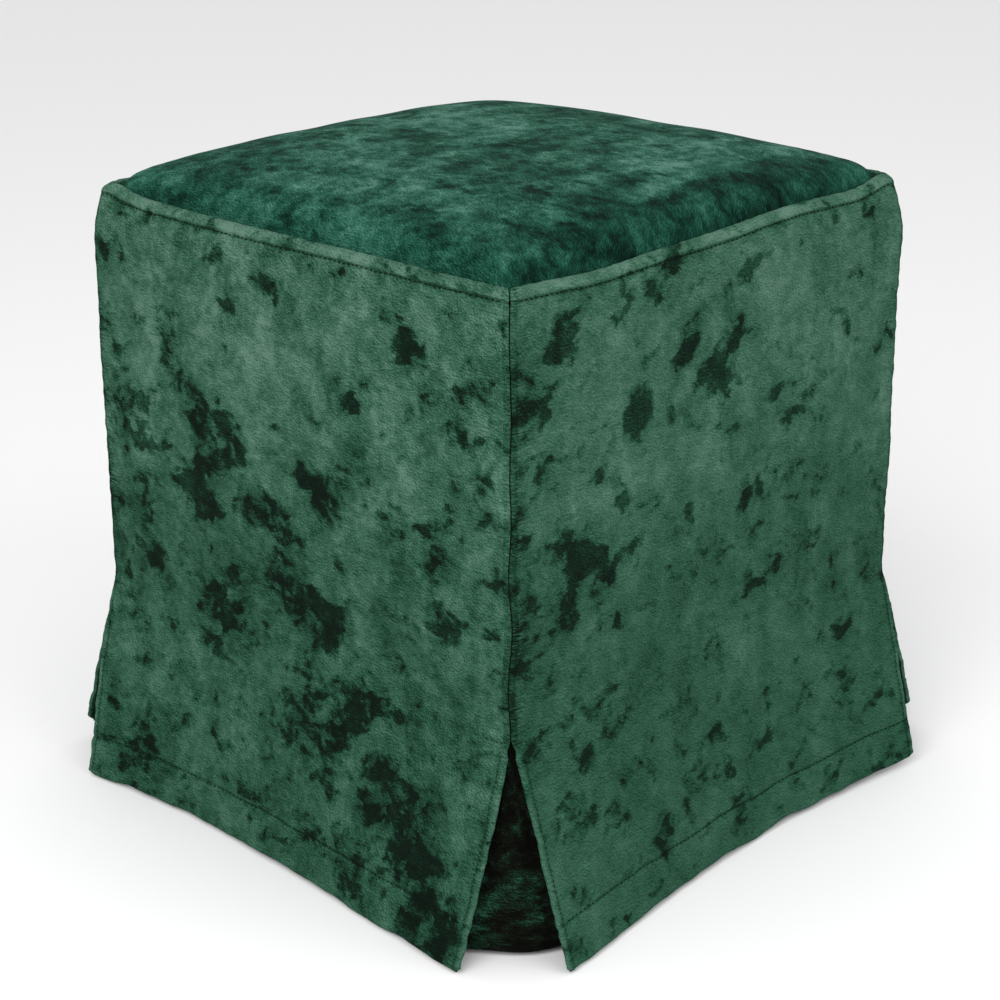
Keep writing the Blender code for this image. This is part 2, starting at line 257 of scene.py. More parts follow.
def sideRows():
    # A panel's whole profile: down inside the hem and round its fold, up the side, over the ridge and down
    # behind it. Each row has its height, set-back, share of the ridge's wave, and the angle that it faces.
    fold, hem = cover["hemRoll"], cover["hem"]
    inside = np.linspace(hemHeight(), hem + fold, 9)[:-1]
    bend = np.radians(np.linspace(-180.0, 0.0, 9))
    roll = cover["ridgeDeep"] / 2
    start = cover["ridgeHeight"] - roll
    places = (hem + fold, hemHeight() - 0.001, cover["pleatHead"], grooveHeight(), start)
    up = graded(hem + fold, start, 0.0009, cover["coarse"], places, 0.012)[1:-1]
    over = np.radians(np.linspace(0.0, 180.0, 20))
    behind = np.linspace(cover["ridgeHeight"] - roll, cover["ridgeHeight"] - topPanel["sunk"] - 0.002, 4)[1:]
    parts = [
        (inside, np.full(8, 2 * fold), np.zeros(8), np.full(8, -pi)),
        (hem + fold * (1.0 + np.sin(bend)), fold * (1.0 - np.cos(bend)), np.zeros(9), bend),
        sideRow(up),
        (
            cover["ridgeHeight"] - roll * (1.0 - np.sin(over)),
            roll * (1.0 - np.cos(over)) - cover["ridgeProud"] * np.cos(over) ** 2,
            np.ones(20),
            over,
        ),
        (behind, np.full(3, cover["ridgeDeep"]), np.ones(3), np.full(3, pi)),
    ]
    return [np.concatenate(column)[:, None] for column in zip(*parts)]


def sideColumns():
    # The share and the angle turned into the corner seam of each column.
    half = cover["halfWidth"]
    share = graded(-half, half, cover["fine"], cover["coarse"], (-half, half), 0.016) / half
    turned = np.radians(np.linspace(0.0, 45.0, 8))[1:]
    share = np.concatenate([-np.ones(7), share, np.ones(7)])
    return share[None, :], np.concatenate([-turned[::-1], np.zeros(len(share) - 14), turned])[None, :]


def seamWander(corner, height):
    # How far a corner seam strays along its left-hand panel and out from it, level by level.
    held = ease((height - cover["pleatHead"]) / 0.03) * ease((grooveHeight() - height) / 0.02)
    held = held * cover["seamWander"]
    seed = 500 + 7 * corner
    return [held * ripples(0.0, height, size, seed + round(size * 100), 5) for size in (0.090, 0.070)]


def sideSwell(skirt, u, toEdge, height, lean, freed):
    # Height of the velvet above its smooth shape: soft dents, puckers that fade away from each line of
    # stitches, and a narrow bell sunk along each line.
    seed = skirt["turn"]
    quiet = ease(toEdge / 0.03)
    groove, hemLine = grooveHeight(), hemHeight()
    upright = np.cos(lean) > 0.99
    overRidge = (1.0 - np.abs(np.cos(lean)) * upright) * (height > cover["midway"])
    side, dent, top, ridge, corner, hem, edge, tack = puckers.values()
    swell = side["high"] * ripples(u, height, side["size"], seed + 1) * quiet
    swell += dent["high"] * ripples(u, height, dent["size"], seed + 2) * (0.35 + 0.65 * quiet)
    swell = swell * ease((groove + 0.004 - height) / 0.03)
    gathered = ripples(u, 0.35 * height, top["size"], seed + 3, 7)
    swell += top["high"] * gathered * np.exp(-np.abs(height - groove) / top["reach"]) * upright
    swell += ridge["high"] * ripples(u, 0.0, ridge["size"], seed + 4, 7) * overRidge
    drawn = ripples(0.3 * u, height, corner["size"], seed + 5, 7) * np.exp(-toEdge / corner["reach"])
    swell += corner["high"] * drawn * (1.0 - freed) * ease((groove - height) / 0.01)
    gathered = ripples(u, 0.4 * height, hem["size"], seed + 6, 7)
    gathered = gathered * np.exp(-np.abs(height - hemLine) / hem["reach"])
    swell += hem["high"] * gathered - hem["sunk"] * hump(height, hemLine, hem["wide"]) * upright
    swell += hem["thicker"] * ease((hemLine - height) / 0.004) * upright
    near = np.abs(toEdge - cover["edgeStitch"])
    drawn = ripples(0.5 * u, height, edge["size"], seed + 7, 7) * np.exp(-near / edge["reach"])
    swell += freed * (edge["high"] * drawn - edge["sunk"] * hump(near, 0.0, edge["wide"]))
    tacked = hump(height, cover["pleatHead"], tack["wide"]) * ease((tack["long"] - toEdge) / tack["fade"])
    return swell - tack["sunk"] * tacked * upright


def sidePoint(skirt, share, turned, row):
    # A side panel's outer surface. Above the pleat it turns 45 degrees into the corner seam on a small
    # arc, and below it that arc opens into a free edge, which rolls in. It bulges up its side and flares
    # at its foot.
    height, back, wave, lean = row
    seed = skirt["turn"]
    drop = cover["pleatHead"] - height
    freed = np.clip(drop / cover["pleatOpens"], 0.0, 1.0)
    inset = cover["pleatInset"] * (ease(drop / cover["pleatOpens"]) + ease(drop / cover["pleatHead"])) / 2
    atEnds = np.sign(share) * np.abs(share) ** 8
    ragged = wobble(0.0, height, cover["ragged"], seed + 11) * ease(drop / 0.03)
    half = cornerHalf(height) - inset + ragged * atEnds
    radius = np.clip(cover["cornerRadius"] - back, cover["leastRadius"], None)
    seam = cover["seamGap"] + cover["ridgeSeam"] * np.clip(back / cover["ridgeDeep"], 0.0, 1.0)
    flat = half - back - radius - seam * np.sqrt(2.0) * (1.0 - freed)
    closed = turned * (1.0 - freed)
    layer = ease(1.0 - np.clip(back, 0.0, None) / cover["hemRoll"])
    rolled = turned / radians(45) * radians(cover["edgeTurn"]) * layer
    opened = cover["edgeRoll"] * np.sin(rolled) + cover["pleatEdge"] * atEnds * layer
    u = share * flat + (1.0 - freed) * radius * np.sin(closed) + freed * opened
    place = np.clip(u / half, -1.0, 1.0)
    turnIn = (1.0 - freed) * radius * (1.0 - np.cos(closed))
    turnIn = turnIn + freed * cover["edgeRoll"] * (1.0 - np.cos(rolled))
    out = cornerHalf(height) - back - turnIn + bulge(place, height) + flare(skirt, place, height)
    toEdge = np.clip(flat + cover["pleatEdge"] + cover["edgeRoll"] - np.abs(u), 0.0, None)
    seen = ease((cover["hemRoll"] * 1.5 - back + (height > cover["midway"])) / 0.001)
    swell = sideSwell(skirt, u, toEdge, height, lean, freed) * seen
    wavy = wobble(u, 0.0, cover["hemWavy"], seed + 8)
    lift = (hemLift(skirt, place) + wavy * ease(drop / 0.1)) * ease(drop / cover["pleatHead"])
    fromHem = np.clip((height - cover["hem"]) / cover["tipTall"], 0.0, 1.0)
    atTip = np.clip(1.0 - toEdge / cover["tipWide"], 0.0, 1.0) * (1.0 - fromHem)
    lift = lift + cover["tipRound"] * atTip**2
    z = height + lift + wave * (ridgeWave(skirt["face"], place) + cornerWave(skirt["face"], place))
    corner = seed // 90
    fade = np.exp(-toEdge / 0.02)
    alongRight, outRight = seamWander(corner, height)
    alongLeft, outLeft = seamWander((corner - 1) % 4, height)
    filled = cover["cornerFill"] * hump(height, grooveHeight(), cover["grooveWide"]) * (np.cos(lean) > 0.99)
    filled = filled * np.exp(-toEdge / cover["fillReach"])
    u = u + fade * np.where(share > 0.0, alongRight, -outLeft) + filled * np.sign(share)
    out = out + fade * np.where(share > 0.0, outRight, alongLeft) + filled
    tilt = np.cos(closed) * np.cos(lean)
    sideways = np.sin(closed) * np.cos(lean)
    return u + swell * sideways, out + swell * tilt, z + swell * np.sin(lean)


def turnedAbout(u, out, z, turn):  # from a panel's own place to where it stands
    place = (u - 1j * out) * 1j ** (turn // 90)
    return place.real, place.imag, z


def topEdge(share):
    level = cover["ridgeHeight"] - topPanel["sunk"]
    return cornerHalf(level) - cover["ridgeDeep"] - 0.0003 + bulge(share, level)


def topPoint(across, along):
    # The top panel: up in a tight roll beside the ridge, then a crown that is the power of a product of two
    # flat-topped arches. Its edge follows the ridge's waves, and it has soft dents and seam puckers.
    rolled = (1.0 - np.abs(across) ** topPanel["quick"]) * (1.0 - np.abs(along) ** topPanel["quick"])
    arches = [1.0 - np.abs(topPanel["wide"] * side) ** topPanel["flat"] for side in (across, along)]
    crown = topPanel["crown"] * (arches[0] * arches[1]) ** topPanel["full"]
    rise = topPanel["sunk"] + topPanel["roll"] * (1.0 - (across * along) ** 4) + crown
    z = cover["ridgeHeight"] - topPanel["sunk"] + rise * rolled
    shares = (across, -along), (along, across), (-across, along), (-along, -across)
    x, y = across * topEdge(along), along * topEdge(across)
    half = topPanel["half"]
    for number, (face, (share, near)) in enumerate(zip(faceNames, shares)):
        z = z + ridgeWave(face, share) * np.clip(near, 0.0, 1.0) ** 8
        gathers = ripples(share * half, near * 0.06, topPanel["gatherSize"], 60 + number, 7) * rolled
        z = z + topPanel["gathers"] * gathers * np.exp(-(1.0 - near) * half / topPanel["gatherReach"])
    reach = cover["cornerReach"]
    for cornerX, cornerY, higher in zip((1, 1, -1, -1), (-1, 1, 1, -1), cornerRises):
        z = z + higher * hump(across, cornerX, reach) * hump(along, cornerY, reach)
    return x, y, z + topPanel["undulation"] * ripples(x, y, 0.075, 71) * rolled


# Meshes

def addMesh(name, points, faces, material):
    mesh = bpy.data.meshes.new(name)
    mesh.from_pydata(points.tolist(), [], faces)
    mesh.materials.append(material)
    mesh.shade_smooth()
    piece = bpy.data.objects.new(name, mesh)
    bpy.context.scene.collection.objects.link(piece)
    return piece


def gridFaces(rows, columns):
    start = (np.arange(rows - 1)[:, None] * columns + np.arange(columns - 1)).reshape(-1)
    return np.stack([start, start + 1, start + columns + 1, start + columns], axis=1).tolist()


def addSheet(name, grid, uv, paints, material):
    # A grid of points made into cloth, its thickness on the side away from the faces. uv is the place on
    # the cloth in metres, and paints are values painted on its points.
    points = np.stack(grid, axis=-1)
    shape = points.shape[:2]
    piece = addMesh(name, points.reshape(-1, 3), gridFaces(*shape), material)
    mesh = piece.data
    uv = np.stack([np.broadcast_to(part, shape) for part in uv], axis=-1).reshape(-1, 2)
    corners = np.empty(len(mesh.loops), np.int32)
    mesh.loops.foreach_get("vertex_index", corners)
    layer = mesh.uv_layers.new(name="cloth")
    layer.data.foreach_set("uv", uv[corners].astype(np.float32).reshape(-1))
    for label, values in paints.items():
        values = np.broadcast_to(values, shape).astype(np.float32).reshape(-1)
        mesh.attributes.new(label, "FLOAT", "POINT").data.foreach_set("value", values)
    solid = piece.modifiers.new("Cloth", "SOLIDIFY")
    solid.thickness = cover["cloth"]
    solid.offset = -1.0
    return piece


def tellFrame(piece, slot, *nodes):
    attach(piece, body)
    if nodes:
        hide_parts(*nodes)
    return piece


# Materials

class Wire:
    # One output of a material's node. Sums and products of wires and numbers are plain expressions.
    def __init__(self, paint, socket):
        self.paint, self.socket = paint, socket

    def __add__(self, other):
        return self.paint.number("ADD", self, other)

    def __sub__(self, other):
        return self.paint.number("SUBTRACT", self, other)

    def __rsub__(self, other):
        return self.paint.number("SUBTRACT", other, self)

    def __mul__(self, other):
        return self.paint.number("MULTIPLY", self, other)

    __radd__ = __add__
    __rmul__ = __mul__


class Paint:
    # A material and the nodes that feed its shader.
    def __init__(self, name, **constants):
        self.material = bpy.data.materials.new(name)
        self.material.use_nodes = True
        self.tree = self.material.node_tree
        self.shader = self.tree.nodes["Principled BSDF"]
        for socket, value in constants.items():
            self.shader.inputs[socket.replace("_", " ")].default_value = value

    def node(self, kind, settings=None, inputs=None, output=0):
        made = self.tree.nodes.new(kind)
        for key, value in (settings or {}).items():
            if key == "stops":
                self.setStops(made.color_ramp, value)
            else:
                setattr(made, key, value)
        for key, value in (inputs or {}).items():
            if isinstance(value, Wire):
                self.tree.links.new(value.socket, made.inputs[key])
            else:
                made.inputs[key].default_value = value
        return Wire(self, made.outputs[output])

    def setStops(self, ramp, stops):
        while len(ramp.elements) < len(stops):
            ramp.elements.new(0.5)
        for element, (place, colour) in zip(ramp.elements, stops):
            element.position = place
            element.color = colour

    def number(self, operation, *values):
        return self.node("ShaderNodeMath", {"operation": operation}, dict(enumerate(values)))

    def step(self, value, low, high):  # 0 below low, 1 above high, eased between
        settings = {"interpolation_type": "SMOOTHSTEP"}
        return self.node("ShaderNodeMapRange", settings, {"Value": value, "From Min": low, "From Max": high})

    def mix(self, factor, first, second):
        settings = {"data_type": "RGBA", "clamp_factor": True}
        return self.node("ShaderNodeMix", settings, {0: factor, 6: first, 7: second}, output=2)

    def noise(self, place, scale, detail=2.0, roughness=0.5, output=0):
        inputs = {"Vector": place, "Scale": scale, "Detail": detail, "Roughness": roughness}
        return self.node("ShaderNodeTexNoise", {}, inputs, output)

    def stretched(self, place, scale, lean=0.0, shift=(0.0, 0.0)):
        inputs = {"Vector": place, "Scale": (*scale, 1.0), "Rotation": (0.0, 0.0, radians(lean))}
        return self.node("ShaderNodeMapping", {"vector_type": "POINT"}, {**inputs, "Location": (*shift, 0.0)})

    def feed(self, socket, wire):
        self.tree.links.new(wire.socket, self.shader.inputs[socket])

    def bump(self, height, distance, strength=1.0, under=None):
        inputs = {"Height": height, "Distance": distance, "Strength": strength}
        if under is not None:
            inputs["Normal"] = under
        return self.node("ShaderNodeBump", {}, inputs)


def rgb(red, green, blue):  # a screen colour as the shader's linear one
    parts = [part / 255 for part in (red, green, blue)]
    return (*(((part + 0.055) / 1.055) ** 2.4 if part > 0.04 else part / 12.92 for part in parts), 1.0)


def dimmed(colour, share):
    return (*(part * share for part in rgb(*colour)[:3]), 1.0)


velvetLooks = {
    "side": {
        "colours": ((10, 23, 15), (16, 38, 27), (29, 68, 49), (51, 94, 73), (74, 114, 95), (102, 137, 119)),
        "level": 0.65, "spread": 1.20, "crush": 1.0, "gain": 0.125, "dim": 0.72, "bump": 1.0,
    },
    # The top's colours are darker and bluer than the side's: painted shade of the top, seen at a grazing
    # angle.
    "top": {
        "colours": ((4, 24, 17), (9, 42, 32), (18, 64, 50), (38, 91, 74), (65, 117, 99), (100, 145, 130)),
        "level": 0.63, "spread": 1.55, "crush": 0.25, "gain": 0.060, "dim": 0.70, "bump": 0.6,
    },
    # The underlay's colours are near black: painted shade of the velvet in the pleats' recesses.
    "underlay": {
        "colours": ((7, 6, 4), (11, 10, 7), (14, 17, 11), (17, 34, 24), (26, 58, 43), (44, 84, 65)),
        "level": 0.40, "spread": 2.3, "crush": 0.6, "gain": 0.080, "dim": 0.80, "bump": 0.8,
    },
}


# The layers of noise in the pile: stretched along and up, leaning by degrees, from a place of its own in
# the noise, then how fine it is, how detailed and how rough.
pile = {
    "clouds": ("still", (1.0, 0.7), 18.0, (0.0, 0.0), 11.0, 2.0, 0.5),
    "streaks": ("warped", (1.0, 0.6), 22.0, (0.0, 0.0), 40.0, 3.0, 0.5),
    "patches": ("warped", (0.80, 1.0), 0.0, (1.3, 5.2), 90.0, 3.0, 0.5),
    "mottles": ("still", (0.85, 1.0), 30.0, (4.3, 2.2), 210.0, 2.0, 0.5),
    "lobes": ("warped", (0.76, 1.0), -15.0, (3.1, 1.7), 46.0, 3.0, 0.5),
    "scraps": ("warped", (0.78, 1.0), -25.0, (6.1, 3.9), 130.0, 3.0, 0.55),
    "specks": ("still", (1.0, 0.9), 0.0, (7.3, 2.9), 1000.0, 1.0, 0.5),
    "pebbles": ("still", (0.8, 1.2), 0.0, (0.0, 0.0), 560.0, 2.0, 0.6),
    "beside": ("still", (0.8, 1.2), 0.0, (0.00025, 0.0005), 560.0, 2.0, 0.6),
    "combs": ("still", (0.16, 1.0), 0.0, (0.0, 0.0), 700.0, 2.0, 0.6),
}


def velvet(name, looks):
    # Crushed pile: broad clouds and leaning streaks set how light the nap is, lobes of pile lying the
    # other way are dark inside a softer halo, and fine pebbling breaks up the light. The painted
    # attributes crush it, add painted highlights and painted shade, comb it across beside a seam, and
    # calm is how quiet a panel is.
    paint = Paint(name, Roughness=0.9, Sheen_Weight=0.02, Sheen_Roughness=0.5, Specular_IOR_Level=0.035)
    paint.shader.inputs["Sheen Tint"].default_value = rgb(150, 210, 180)
    still = paint.node("ShaderNodeUVMap", {"uv_map": "cloth"})
    drift = paint.noise(still, 46.0, 3.0, 0.5, output=1)
    centred = paint.node("ShaderNodeVectorMath", {"operation": "SUBTRACT"}, {0: drift, 1: (0.5, 0.5, 0.5)})
    small = paint.node("ShaderNodeVectorMath", {"operation": "SCALE"}, {0: centred, "Scale": 0.015})
    warped = paint.node("ShaderNodeVectorMath", {"operation": "ADD"}, {0: still, 1: small})
    places = {"still": still, "warped": warped}
    clouds, streaks, patches, mottles, lobes, scraps, specks, pebbles, beside, combs = (
        paint.noise(paint.stretched(places[kind], stretch, lean, shift), *fineness)
        for kind, stretch, lean, shift, *fineness in pile.values()
    )
    crushed, lifted, calm, combed = (
        paint.node("ShaderNodeAttribute", {"attribute_name": label}, output=2)
        for label in ("crushed", "lifted", "calm", "combed")
    )
    broad = (clouds - 0.5) * 0.60 + (streaks - 0.5) * 0.75 + (patches - 0.5) * 0.55 + (mottles - 0.5) * 0.42
    fine = (specks - 0.5) * 0.60 + (pebbles - beside) * 1.1
    field = lobes * 0.62 + scraps * 0.38 + crushed * looks["gain"]
    dark = paint.step(field, 0.575, 0.645) * looks["crush"]
    shade = paint.step(field + (patches - 0.5) * 0.22, 0.505, 0.625)
    nap = looks["level"] + broad * (1.0 - calm) * looks["spread"] + fine * (1.0 - calm * 0.6)
    nap = nap - (shade * 0.25 + dark * 0.27) * (1.0 - calm * 0.4) - combed * (0.08 + (combs - 0.5) * 1.6)
    # Painted highlights (above 0) and painted shade (below 0) go into the nap here.
    nap = nap + lifted * 0.30 - crushed * 0.05
    stops = [(0.2 * number, dimmed(colour, looks["dim"])) for number, colour in enumerate(looks["colours"])]
    paint.feed("Base Color", paint.node("ShaderNodeValToRGB", {"stops": stops}, {"Fac": nap}))
    paint.feed("Roughness", 0.95 - nap * 0.15)
    deep = 0.0016 * looks["bump"]
    folded = paint.bump(streaks * 0.5 + patches * 0.6 - dark * 0.35, deep, 0.8)
    paint.feed("Normal", paint.bump(pebbles + specks * 0.5 + combed * combs, deep, 1.0, folded))
    return paint.material


def threadFinish(name, colour):
    # Sewing thread in two colours: a twist of two plies seen as fine bands.
    paint = Paint(name, Roughness=0.8, Specular_IOR_Level=0.1)
    place = paint.node("ShaderNodeTexCoord", output=3)
    twist = paint.noise(place, 2600.0, 1.0, 0.5)
    paint.feed("Base Color", paint.mix(twist, rgb(*colour[0]), rgb(*colour[1])))
    paint.feed("Normal", paint.bump(twist, 0.00015, 0.8))
    return paint.material


def baseClothFinish(name):
    # Plain woven base cloth: warp and weft as two crossed waves, with slubs.
    paint = Paint(name, Roughness=0.9)
    place = paint.node("ShaderNodeTexCoord", output=3)
    inputs = {"Vector": place, "Scale": 180.0, "Distortion": 0.6}
    warp, weft = (paint.node("ShaderNodeTexWave", {"bands_direction": way}, inputs) for way in "XY")
    slub = paint.noise(paint.stretched(place, (1.0, 6.0)), 120.0, 3.0, 0.6)
    weave = warp * 0.5 + weft * 0.5
    paint.feed("Base Color", paint.mix(weave * 0.6 + slub * 0.5, rgb(14, 14, 14), rgb(52, 51, 48)))
    paint.feed("Normal", paint.bump(weave + slub * 0.4, 0.0003, 0.6))
    return paint.material


# Where the pile is crush-dark (more than 0) or brushed light (less than 0), and on the top painted
# shade (more than 0) and painted light (less than 0) as well: u and height of the place (for the top,
# x and y), half its width and height, all in millimetres, the degrees that it leans, and how strongly.
crushAndShadeRows = {
    "front": (
        (-162, 280, 24, 30, 20, 1.0), (-113, 337, 14, 22, 0, 0.8), (-71, 284, 28, 30, -25, 1.1),
        (-95, 242, 30, 24, 10, 1.1), (-155, 190, 20, 34, 15, 0.9), (32, 272, 26, 20, -20, 1.1),
        (-10, 232, 30, 20, -35, 0.8), (64, 339, 10, 9, 0, 1.0), (20, 184, 36, 22, -20, 1.2),
        (-69, 155, 26, 28, 20, 0.9), (34, 110, 40, 24, 25, 1.1), (72, 140, 26, 20, -20, 0.7),
        (-150, 30, 22, 34, 0, 0.7), (-70, 70, 20, 20, 0, 0.4), (104, 88, 40, 34, -25, 0.8),
        (140, 55, 34, 36, 15, 0.7), (88, 26, 34, 20, 0, 0.7), (160, 15, 30, 22, 0, 0.9),
        (147, 215, 18, 22, -10, 0.6), (165, 351, 18, 20, 0, 0.6), (134, 252, 16, 16, 0, 0.7),
        (-4, 398, 20, 12, 0, 0.5), (110, 386, 24, 14, -15, 0.8), (180, 300, 16, 40, 0, 0.4),
        (47, 385, 50, 24, 0, -0.9), (120, 305, 28, 26, 10, -0.7), (158, 165, 24, 28, 10, -0.8),
        (-30, 340, 60, 30, 0, -0.6), (70, 240, 20, 30, 0, -0.5), (-110, 390, 50, 20, 0, -0.3),
        (80, 190, 18, 30, 0, -0.6), (128, 120, 20, 20, 0, -0.6),
    ),
    "right": (
        (-158, 398, 15, 14, 10, 0.9), (-176, 382, 22, 36, 0, 0.35), (-186, 335, 20, 36, 0, 0.45),
        (-136, 255, 24, 20, -20, 1.2), (-165, 236, 30, 36, 0, 0.5), (-86, 334, 15, 22, 0, 1.3),
        (-12, 347, 22, 16, 25, 1.2), (-39, 369, 11, 19, -25, 1.1), (7, 372, 11, 16, 0, 0.9),
        (-74, 412, 10, 10, 30, 0.9), (-51, 424, 16, 7, 25, 1.1), (-123, 307, 10, 10, 0, 0.7),
        (-116, 226, 12, 14, -20, 1.0), (-1, 226, 8, 14, -20, 0.9), (27, 248, 8, 12, -20, 0.8),
        (-99, 281, 8, 10, -20, 0.9), (-175, 175, 22, 40, 0, 0.4), (-152, 83, 16, 24, 0, 0.9),
        (137, 118, 10, 14, 0, 0.9), (78, 306, 20, 20, 20, 0.5), (-120, 130, 30, 20, 20, 0.4),
        (40, 190, 20, 12, 30, 0.5), (110, 60, 30, 10, 10, 0.2), (-60, 60, 30, 20, 20, 0.3),
        (-110, 360, 20, 30, 0, -0.3), (-40, 290, 50, 20, 0, -0.5), (90, 400, 50, 20, 0, -0.7),
        (60, 350, 30, 20, 0, -0.4), (-70, 180, 50, 40, 0, -0.4), (60, 130, 50, 30, 0, -0.4),
        (140, 230, 40, 60, 0, -0.3), (-120, 40, 30, 20, 0, -0.4),
    ),
    "back": (
        (-120, 300, 28, 24, 20, 1.1), (-60, 250, 24, 30, -20, 1.0), (20, 330, 18, 18, 0, 1.0),
        (90, 280, 30, 22, 25, 1.1), (140, 200, 26, 34, 0, 0.8), (10, 150, 36, 22, -15, 1.1),
        (-140, 120, 26, 30, 10, 0.8), (80, 70, 36, 30, 0, 1.0), (40, 400, 24, 10, 0, 0.7),
        (-40, 380, 50, 22, 0, -0.8), (40, 220, 30, 30, 0, -0.7), (-80, 180, 30, 30, 0, -0.6),
        (130, 350, 40, 24, 0, -0.5), (-20, 70, 40, 24, 0, -0.5),
    ),
    "left": (
        (-150, 350, 22, 20, 0, 1.0), (-80, 310, 26, 18, 25, 1.1), (0, 260, 30, 24, -20, 1.1),
        (70, 340, 16, 20, 0, 1.0), (130, 280, 24, 30, 0, 0.8), (-130, 190, 28, 32, 10, 0.9),
        (60, 160, 34, 22, 20, 1.1), (150, 90, 26, 34, 0, 0.8), (-60, 80, 34, 24, -10, 1.0),
        (0, 390, 50, 20, 0, -0.7), (-60, 220, 30, 30, 0, -0.6), (110, 210, 30, 24, 0, -0.6),
        (20, 110, 30, 24, 0, -0.5),
    ),
    # On the top, the long rows along its right and front edges are painted shade, and the rows below 0 are
    # painted light.
    "top": (
        (-150, 60, 14, 60, 12, 0.9), (-120, -80, 16, 50, -10, 0.7), (-60, -165, 60, 14, 0, 0.8),
        (172, 0, 14, 160, 0, 1.1), (60, -172, 80, 12, 0, 0.5), (90, -90, 40, 30, 0, 0.4),
        (60, 110, 40, 30, 0, 0.4), (-40, 40, 60, 50, 0, -0.5), (-100, 120, 50, 30, 20, -0.4),
        (0, -60, 50, 30, -15, -0.4), (100, 30, 30, 50, 0, -0.3),
    ),
}


def crushAndShadeAt(face, u, z):  # the sum of leaning flat-topped bells, one for each row
    total = 0.0 * u
    for *sizes, lean, strength in crushAndShadeRows[face]:
        at, height, wide, tall = (size / 1000 for size in sizes)
        across, up = u - at, z - height
        lean = radians(lean)
        turned = across * cos(lean) + up * sin(lean), up * cos(lean) - across * sin(lean)
        total = total + strength * np.exp(-(((turned[0] / wide) ** 2 + (turned[1] / tall) ** 2) ** 2))
    return total


# Side panels

faceShift = {"front": 0.0, "right": 1.3, "back": 2.6, "left": 3.9}  # a place in the pile's pattern for each
calmness = {"front": 0.0, "right": 0.32, "back": 0.05, "left": 0.10}


def profileLength(height, back):  # distance along a profile from its first row
    return np.concatenate([[0.0], np.cumsum(np.hypot(np.diff(height[:, 0]), np.diff(back[:, 0])))])[:, None]


def addSidePanel(skirt, material):
    # Painted highlights lighten the ridge and the pleat edges, the side is painted darker towards the
    # bottom and lighter towards the top, and painted shade darkens every line of stitches and the corner
    # seams. The pile is combed across on the right of the corner seams, and its crush is darkest inside the
    # hem.
    row = sideRows()
    share, turned = sideColumns()
    u, out, z = sidePoint(skirt, share, turned, row)
    height, back, wave, lean = row
    face = skirt["face"]
    freed = np.clip((cover["pleatHead"] - height) / cover["pleatOpens"], 0.0, 1.0)
    toEdge = cover["halfWidth"] * (1.0 - np.abs(share))
    onRidge = ease((height - grooveHeight() - 0.001) / 0.002) * (back < cover["ridgeDeep"] * 0.8)
    # Painted light and shade: highlights on the ridge and the pleat edges, darker towards the bottom and
    # lighter towards the top, and painted shade along the stitch lines and the corner seams.
    lifted = onRidge * 0.55 + freed * ease((0.0014 - toEdge) / 0.0010) * 0.34
    lifted += 0.42 * ease((height - 0.12) / 0.28) - 0.24
    lifted -= 0.7 * hump(height, grooveHeight() + 0.0003, 0.0009)
    lifted -= 0.7 * hump(height, hemHeight(), 0.0007)
    lifted -= 0.5 * freed * hump(toEdge, cover["edgeStitch"], 0.0009)
    lifted -= 0.5 * (1.0 - freed) * hump(toEdge, 0.0, 0.0006)
    patchy = np.clip(0.55 + 0.45 * ripples(0.0, height, 0.045, skirt["turn"] + 21, 5), 0.2, 1.4)
    combed = (1.0 - freed) * hump(toEdge, 0.0, 0.0065) * (share < 0.0) * patchy
    insideHem = (back > cover["hemRoll"]) & (height < cover["midway"])
    crushed = np.where(insideHem, 1.2, crushAndShadeAt(face, u, z) + 0.15 * combed)
    calm = calmness[face] + 0.30 * (1.0 - height / cover["ridgeHeight"])
    paints = {"crushed": crushed, "lifted": lifted, "calm": calm, "combed": combed}
    span = share * cover["halfWidth"] + turned * cover["cornerRadius"]
    uv = (span + faceShift[face], profileLength(height, back))
    piece = addSheet("velvet_side_" + face, turnedAbout(u, out, z, skirt["turn"]), uv, paints, material)
    return tellFrame(piece, "velvet_side", "side_panel_" + face)


# Top panel

def overSurface(flat, z, axis):  # distance over the dome from its middle line, along one way of the grid
    run = np.cumsum(np.hypot(np.diff(flat, axis=axis), np.diff(z, axis=axis)), axis=axis)
    run = np.concatenate([0.0 * np.take(run, [0], axis=axis), run], axis=axis)
    return run - np.take(run, [flat.shape[axis] // 2], axis=axis)


def addTopPanel(material):
    # Painted shade darkens it in the seam, along the right side, and towards the front corner.
    half = topPanel["half"]
    step = graded(-half, half, topPanel["fine"], topPanel["coarse"], (-half, half), 0.03) / half
    across, along = np.meshgrid(step, step)
    x, y, z = topPoint(across, along)
    toEdge = half * (1.0 - np.maximum(np.abs(across), np.abs(along)))
    near = hump(toEdge, 0.0, 0.035)
    # Painted shade near its edges on its right half, in the seam, and along its right side.
    lifted = -0.24 * near * ease((x + 0.08) / 0.16) - 0.30 * hump(toEdge, 0.0, 0.006)
    lifted -= 0.28 * ease((x - 0.115) / 0.06)
    paints = {"crushed": crushAndShadeAt("top", x, y), "lifted": lifted, "calm": 0.30 * near}
    uv = (5.2 + overSurface(x, z, 1), overSurface(y, z, 0))
    piece = addSheet("velvet_top", (x, y, z), uv, paints, material)
    return tellFrame(piece, "velvet_top", "top_panel")


# Pleat underlays

underlay = {
    "head": 0.152,
    "hem": 0.0042,
    "tuck": 0.0065,  # from the corner in to its bend, at the head
    "open": 0.057,  # and how much farther in at the hem
    "reach": 0.075,  # how far it runs behind each panel
    "taken": 0.034,  # less that much at the hem
    "gap": 0.0026,  # behind the panels at its head
    "clear": 0.0022,  # and how much more at the hem
    "bendStart": 0.3,  # share of its width at which the bend starts, and where it ends
    "bendEnd": 0.7,
    "hemTurn": 0.027,
    "wide": 0.22,  # its flat size in the pile's pattern
    "tall": 0.15,
    "columns": 72,
    "rows": 56,
}


def panelOut(skirt, u, z):
    share = np.clip(u / cornerHalf(z), -1.0, 1.0)
    return cornerHalf(z) + bulge(share, z) + flare(skirt, share, z)


